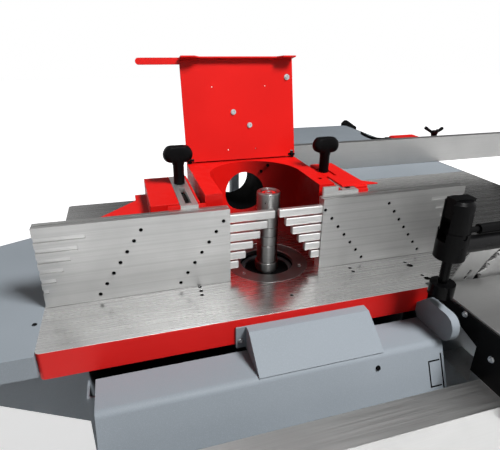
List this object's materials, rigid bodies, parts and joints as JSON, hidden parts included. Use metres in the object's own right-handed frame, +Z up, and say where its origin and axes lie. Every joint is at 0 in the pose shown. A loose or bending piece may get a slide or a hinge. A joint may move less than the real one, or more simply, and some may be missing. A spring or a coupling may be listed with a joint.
{
  "type": "combination saw spindle moulder",
  "caption": "Woodworking machine with a cast table, a spindle under a hood with finger-bar fences, a saw blade beside a sliding table, extension tables and a rip fence.",
  "frame": {"origin": "on the floor directly under the spindle's axis", "axes": "+X along the sliding table's travel to the right, +Y away from the operator, +Z up"},
  "size_m": [2.3586, 1.809, 1.2758],
  "materials": {
    "red_paint": "smooth gloss",
    "grey_paint": "fine satin",
    "ground_iron": "ground",
    "plate_aluminium": "brushed",
    "bright_steel": "turned",
    "black_plastic": "moulded",
    "dark_iron": "as cast",
    "motor_paint": "satin",
    "belt_rubber": "matte"
  },
  "bodies": {
    "machine": {"cabinet": "grey_paint", "main_table": "ground_iron", "table_insert_ring": "ground_iron", "ledge_cover": "grey_paint", "wedge_cover": "grey_paint", "end_bracket": "grey_paint", "left_extension": "grey_paint", "rear_extension": "grey_paint", "slide_beam": "plate_aluminium", "hood_shell": "red_paint", "extraction_spigot": "black_plastic", "left_carrier": "red_paint", "right_carrier": "red_paint", "quill_guide": "dark_iron", "saw_bracket": "dark_iron", "rip_rail": "dark_iron"},
    "lid": {"lid": "red_paint"},
    "left_fence": {"left_fence_bar": "bright_steel"},
    "right_fence": {"right_fence_bar": "bright_steel"},
    "left_plate": {"left_fence_plate": "plate_aluminium"},
    "right_plate": {"right_fence_plate": "plate_aluminium"},
    "left_knob": {"left_knob": "black_plastic"},
    "right_knob": {"right_knob": "black_plastic"},
    "quill": {"quill": "dark_iron", "spindle_motor": "motor_paint", "drive_belt": "belt_rubber"},
    "spindle": {"spindle_shaft": "bright_steel"},
    "motor_rotor": {"motor_pulley": "dark_iron"},
    "spindle_wheel": {"spindle_handwheel": "black_plastic"},
    "saw_lift": {"saw_arm": "dark_iron", "saw_motor": "motor_paint", "riving_knife": "bright_steel"},
    "saw_spin": {"saw_arbor": "bright_steel", "saw_blade": "bright_steel"},
    "saw_wheel": {"saw_handwheel": "black_plastic"},
    "slider": {"sliding_table": "plate_aluminium", "slide_end_caps": "black_plastic", "clamp_post": "black_plastic"},
    "clamp_plunger": {"clamp_plunger": "black_plastic"},
    "clamp_lever": {"clamp_lever": "black_plastic"},
    "rip_fence": {"rip_fence_plate": "plate_aluminium", "rip_fence_head": "red_paint"},
    "rip_knob": {"rip_fence_knob": "black_plastic"},
    "rip_handle": {"rip_fence_handle": "black_plastic"},
    "left_finger_1": {"left_finger_1": "plate_aluminium"},
    "left_finger_2": {"left_finger_2": "plate_aluminium"},
    "left_finger_3": {"left_finger_3": "plate_aluminium"},
    "left_finger_4": {"left_finger_4": "plate_aluminium"},
    "left_finger_5": {"left_finger_5": "plate_aluminium"},
    "left_finger_6": {"left_finger_6": "plate_aluminium"},
    "right_finger_1": {"right_finger_1": "plate_aluminium"},
    "right_finger_2": {"right_finger_2": "plate_aluminium"},
    "right_finger_3": {"right_finger_3": "plate_aluminium"},
    "right_finger_4": {"right_finger_4": "plate_aluminium"},
    "right_finger_5": {"right_finger_5": "plate_aluminium"},
    "right_finger_6": {"right_finger_6": "plate_aluminium"}
  },
  "joints": [
    {"name": "lid_swing", "type": "hinge", "parent": "machine", "child": "lid", "pos_m": [0, 0.193, 1.0545], "axis": [1, 0, 0], "range_deg": [0, 102]},
    {"name": "left_fence_set", "type": "slide", "parent": "machine", "child": "left_fence", "axis": [0, 1, 0], "range_m": [-0.03, 0.002]},
    {"name": "left_plate_set", "type": "slide", "parent": "left_fence", "child": "left_plate", "axis": [1, 0, 0], "range_m": [-0.04, 0]},
    {"name": "left_knob_turn", "type": "hinge", "parent": "left_fence", "child": "left_knob", "pos_m": [-0.162, 0.092, 1.036], "axis": [0, 0, 1], "range_deg": [-90, 90]},
    {"name": "left_finger_1_set", "type": "slide", "parent": "left_plate", "child": "left_finger_1", "axis": [1, 0, 0], "range_m": [-0.0095, 0]},
    {"name": "left_finger_2_set", "type": "slide", "parent": "left_plate", "child": "left_finger_2", "axis": [1, 0, 0], "range_m": [-0.0237, 0]},
    {"name": "left_finger_3_set", "type": "slide", "parent": "left_plate", "child": "left_finger_3", "axis": [1, 0, 0], "range_m": [-0.0379, 0]},
    {"name": "left_finger_4_set", "type": "slide", "parent": "left_plate", "child": "left_finger_4", "axis": [1, 0, 0], "range_m": [-0.0521, 0]},
    {"name": "left_finger_5_set", "type": "slide", "parent": "left_plate", "child": "left_finger_5", "axis": [1, 0, 0], "range_m": [-0.0663, 0]},
    {"name": "left_finger_6_set", "type": "slide", "parent": "left_plate", "child": "left_finger_6", "axis": [1, 0, 0], "range_m": [-0.0805, 0]},
    {"name": "right_fence_set", "type": "slide", "parent": "machine", "child": "right_fence", "axis": [0, 1, 0], "range_m": [-0.03, 0.002]},
    {"name": "right_plate_set", "type": "slide", "parent": "right_fence", "child": "right_plate", "axis": [1, 0, 0], "range_m": [0, 0.04]},
    {"name": "right_knob_turn", "type": "hinge", "parent": "right_fence", "child": "right_knob", "pos_m": [0.162, 0.092, 1.036], "axis": [0, 0, 1], "range_deg": [-90, 90]},
    {"name": "right_finger_1_set", "type": "slide", "parent": "right_plate", "child": "right_finger_1", "axis": [1, 0, 0], "range_m": [0, 0.0095]},
    {"name": "right_finger_2_set", "type": "slide", "parent": "right_plate", "child": "right_finger_2", "axis": [1, 0, 0], "range_m": [0, 0.0237]},
    {"name": "right_finger_3_set", "type": "slide", "parent": "right_plate", "child": "right_finger_3", "axis": [1, 0, 0], "range_m": [0, 0.0379]},
    {"name": "right_finger_4_set", "type": "slide", "parent": "right_plate", "child": "right_finger_4", "axis": [1, 0, 0], "range_m": [0, 0.0521]},
    {"name": "right_finger_5_set", "type": "slide", "parent": "right_plate", "child": "right_finger_5", "axis": [1, 0, 0], "range_m": [0, 0.0663]},
    {"name": "right_finger_6_set", "type": "slide", "parent": "right_plate", "child": "right_finger_6", "axis": [1, 0, 0], "range_m": [0, 0.0805]},
    {"name": "quill_rise", "type": "slide", "parent": "machine", "child": "quill", "axis": [0, 0, 1], "range_m": [-0.1, 0]},
    {"name": "spindle_spin", "type": "hinge", "parent": "quill", "child": "spindle", "pos_m": [0, 0, 0.7], "axis": [0, 0, 1], "continuous": true},
    {"name": "motor_spin", "type": "hinge", "parent": "quill", "child": "motor_rotor", "pos_m": [0, 0.19, 0.525], "axis": [0, 0, 1], "continuous": true},
    {"name": "spindle_wheel_turn", "type": "hinge", "parent": "machine", "child": "spindle_wheel", "pos_m": [0, -0.237, 0.44], "axis": [0, -1, 0], "range_deg": [0, 1800]},
    {"name": "saw_rise", "type": "slide", "parent": "machine", "child": "saw_lift", "axis": [0, 0, 1], "range_m": [-0.09, 0]},
    {"name": "saw_spin_turn", "type": "hinge", "parent": "saw_lift", "child": "saw_spin", "pos_m": [0.524, -0.172, 0.807], "axis": [0, 1, 0], "continuous": true},
    {"name": "saw_wheel_turn", "type": "hinge", "parent": "machine", "child": "saw_wheel", "pos_m": [0.524, -0.237, 0.44], "axis": [0, -1, 0], "range_deg": [0, 1620]},
    {"name": "table_slide", "type": "slide", "parent": "machine", "child": "slider", "axis": [1, 0, 0], "range_m": [0, 0.75]},
    {"name": "clamp_press", "type": "slide", "parent": "slider", "child": "clamp_plunger", "axis": [0, 0, 1], "range_m": [0, 0.008]},
    {"name": "clamp_lever_turn", "type": "hinge", "parent": "slider", "child": "clamp_lever", "pos_m": [0.249, -0.228, 1.019], "axis": [0, -1, 0], "range_deg": [0, 38]},
    {"name": "rip_fence_slide", "type": "slide", "parent": "machine", "child": "rip_fence", "axis": [0, 1, 0], "range_m": [-0.5, 0.55]},
    {"name": "rip_knob_turn", "type": "hinge", "parent": "rip_fence", "child": "rip_knob", "pos_m": [0.928, 0.665, 0.934], "axis": [0, 0, 1], "range_deg": [-90, 90]},
    {"name": "rip_handle_turn", "type": "hinge", "parent": "rip_fence", "child": "rip_handle", "pos_m": [0.7, 0.64, 0.934], "axis": [0, 0, -1], "range_deg": [0, 75]}
  ],
  "couplings": [
    {"joint": "spindle_wheel_turn", "follows": "quill_rise", "rad_per_m": -314.16},
    {"joint": "saw_wheel_turn", "follows": "saw_rise", "rad_per_m": -314.16},
    {"joint": "motor_spin", "follows": "spindle_spin", "ratio": 0.58541},
    {"joint": "clamp_press", "follows": "clamp_lever_turn", "m_per_rad": 0.012062}
  ]
}
